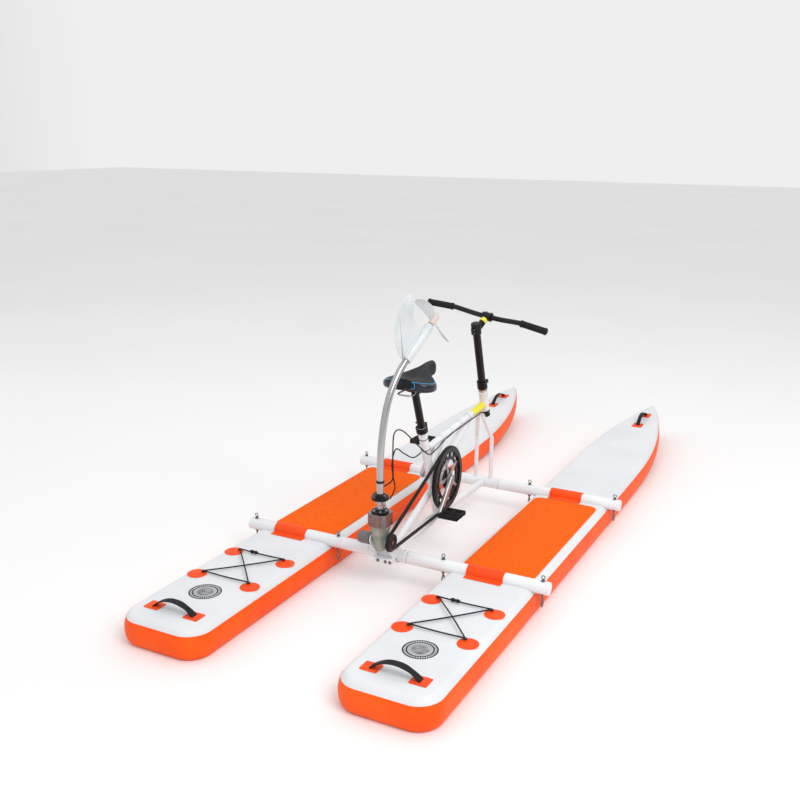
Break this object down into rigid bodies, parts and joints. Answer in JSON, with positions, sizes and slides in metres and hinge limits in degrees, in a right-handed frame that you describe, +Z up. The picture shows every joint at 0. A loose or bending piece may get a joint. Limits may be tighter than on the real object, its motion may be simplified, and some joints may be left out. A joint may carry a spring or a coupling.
{
  "type": "pontoon water bike",
  "caption": "Pedal-driven water bike on twin inflatable boards, with a tilting propeller leg steered from the handlebar.",
  "frame": {"origin": "centre of the bounding box's bottom face, on the ground between the two boards", "axes": "+X to starboard, +Y to the bow, +Z up; the propeller leg is stored upright behind the saddle"},
  "size_m": [1.28, 3.265, 1.1007],
  "materials": {
    "hull_skin": "white deck, orange side walls, satin coated fabric",
    "foam_pad": "textured orange foam",
    "cord": "black elastic cord on orange patches",
    "valve_plastic": "dark grey moulded plastic",
    "orange_fabric": "orange coated fabric",
    "webbing": "black webbing on orange patches",
    "white_paint": "gloss white paint",
    "steel_wire": "bright steel wire",
    "crank_metal": "satin grey",
    "black_plastic": "black moulded plastic",
    "grip_rubber": "black rubber",
    "gear_case": "cast and machined grey metal",
    "black_paint": "satin black",
    "stainless": "polished stainless",
    "white_plastic": "white moulded plastic",
    "saddle_cover": "black cover with blue edge panels",
    "belt_rubber": "black toothed belt",
    "cable_cover": "black cable cover"
  },
  "bodies": {
    "base": {"hull_starboard": "hull_skin", "deck_pad_starboard": "foam_pad", "bungee_net_starboard": "cord", "valve_body_starboard": "valve_plastic", "bar_sleeve_rear_starboard": "orange_fabric", "bar_sleeve_front_starboard": "orange_fabric", "stern_handle_starboard": "webbing", "bow_handle_starboard": "webbing", "cross_tube_rear_starboard": "white_paint", "tie_pin_rear_starboard_inner": "steel_wire", "tie_pin_rear_starboard_outer": "steel_wire", "cross_tube_front_starboard": "white_paint", "tie_pin_front_starboard_inner": "steel_wire", "tie_pin_front_starboard_outer": "steel_wire", "hull_port": "hull_skin", "deck_pad_port": "foam_pad", "bungee_net_port": "cord", "valve_body_port": "valve_plastic", "bar_sleeve_rear_port": "orange_fabric", "bar_sleeve_front_port": "orange_fabric", "stern_handle_port": "webbing", "bow_handle_port": "webbing", "cross_tube_rear_port": "white_paint", "tie_pin_rear_port_inner": "steel_wire", "tie_pin_rear_port_outer": "steel_wire", "cross_tube_front_port": "white_paint", "tie_pin_front_port_inner": "steel_wire", "tie_pin_front_port_outer": "steel_wire", "frame": "white_paint", "tilt_bracket": "white_paint", "seat_clamp": "black_paint", "drive_belt": "belt_rubber", "steer_cable": "cable_cover", "return_cable": "cable_cover"},
    "steering": {"steerer": "black_paint"},
    "post_lever": {"post_lever": "black_paint"},
    "handlebar_group": {"handlepost": "black_paint", "stem": "black_paint", "handlebar": "black_paint", "grip_starboard": "grip_rubber", "grip_port": "grip_rubber"},
    "gearbox_group": {"gearbox": "gear_case", "gearbox_flange": "black_paint"},
    "leg": {"leg_tube": "stainless", "propeller_sleeve": "white_plastic", "fin": "white_plastic"},
    "propeller": {"propeller": "white_plastic"},
    "crankset": {"crank_spindle": "stainless", "drive_wheel": "black_plastic", "crank_starboard": "crank_metal", "crank_port": "crank_metal"},
    "input_pulley": {"input_pulley": "black_plastic"},
    "pedal_starboard": {"pedal_starboard": "black_plastic"},
    "pedal_port": {"pedal_port": "black_plastic"},
    "seat": {"seat_post": "black_paint", "saddle": "saddle_cover"},
    "seat_lever": {"seat_lever": "black_paint"},
    "valve_cap_starboard": {"valve_cap_starboard": "valve_plastic"},
    "valve_cap_port": {"valve_cap_port": "valve_plastic"}
  },
  "joints": [
    {"name": "steering_turn", "type": "hinge", "parent": "base", "child": "steering", "pos_m": [0, 0.1212, 0.4682], "axis": [0, -0.3041, 0.9526], "range_deg": [-30, 60]},
    {"name": "post_height", "type": "slide", "parent": "steering", "child": "handlebar_group", "axis": [0, -0.3041, 0.9526], "range_m": [0, 0.06]},
    {"name": "post_lever_open", "type": "hinge", "parent": "steering", "child": "post_lever", "pos_m": [0.00893, 0.11524, 0.59646], "axis": [0, 0.3041, -0.9526], "range_deg": [0, 120]},
    {"name": "leg_tilt", "type": "hinge", "parent": "base", "child": "gearbox_group", "pos_m": [0, -0.8545, 0.199], "axis": [1, 0, 0], "range_deg": [0, 148]},
    {"name": "leg_steer", "type": "hinge", "parent": "gearbox_group", "child": "leg", "pos_m": [0, -0.8545, 0.4], "axis": [0, 0, 1], "range_deg": [-20, 40]},
    {"name": "propeller_spin", "type": "hinge", "parent": "leg", "child": "propeller", "pos_m": [0.02604, -0.70684, 0.8568], "axis": [0.1387, 0.7865, 0.6018], "continuous": true},
    {"name": "crank_spin", "type": "hinge", "parent": "base", "child": "crankset", "pos_m": [0, -0.3675, 0.298], "axis": [1, 0, 0], "continuous": true},
    {"name": "pulley_spin", "type": "hinge", "parent": "base", "child": "input_pulley", "pos_m": [0, -0.8545, 0.199], "axis": [1, 0, 0], "continuous": true},
    {"name": "pedal_spin_starboard", "type": "hinge", "parent": "crankset", "child": "pedal_starboard", "pos_m": [0.1, -0.47163, 0.18865], "axis": [1, 0, 0], "continuous": true},
    {"name": "pedal_spin_port", "type": "hinge", "parent": "crankset", "child": "pedal_port", "pos_m": [-0.1, -0.26337, 0.40735], "axis": [1, 0, 0], "continuous": true},
    {"name": "seat_height", "type": "slide", "parent": "base", "child": "seat", "axis": [0, -0.3586, 0.9335], "range_m": [-0.06, 0.03]},
    {"name": "seat_lever_open", "type": "hinge", "parent": "base", "child": "seat_lever", "pos_m": [0, -0.4835, 0.55181], "axis": [0, 0.3586, -0.9335], "range_deg": [0, 120]},
    {"name": "valve_cap_starboard_twist", "type": "hinge", "parent": "base", "child": "valve_cap_starboard", "pos_m": [0.42, -1.36, 0.1105], "axis": [0, 0, 1], "range_deg": [0, 90]},
    {"name": "valve_cap_port_twist", "type": "hinge", "parent": "base", "child": "valve_cap_port", "pos_m": [-0.42, -1.36, 0.1105], "axis": [0, 0, 1], "range_deg": [0, 90]}
  ],
  "couplings": [
    {"joint": "leg_steer", "follows": "steering_turn", "ratio": 0.6667},
    {"joint": "pulley_spin", "follows": "crank_spin", "ratio": 4.4507},
    {"joint": "propeller_spin", "follows": "crank_spin", "ratio": 4.4507}
  ]
}
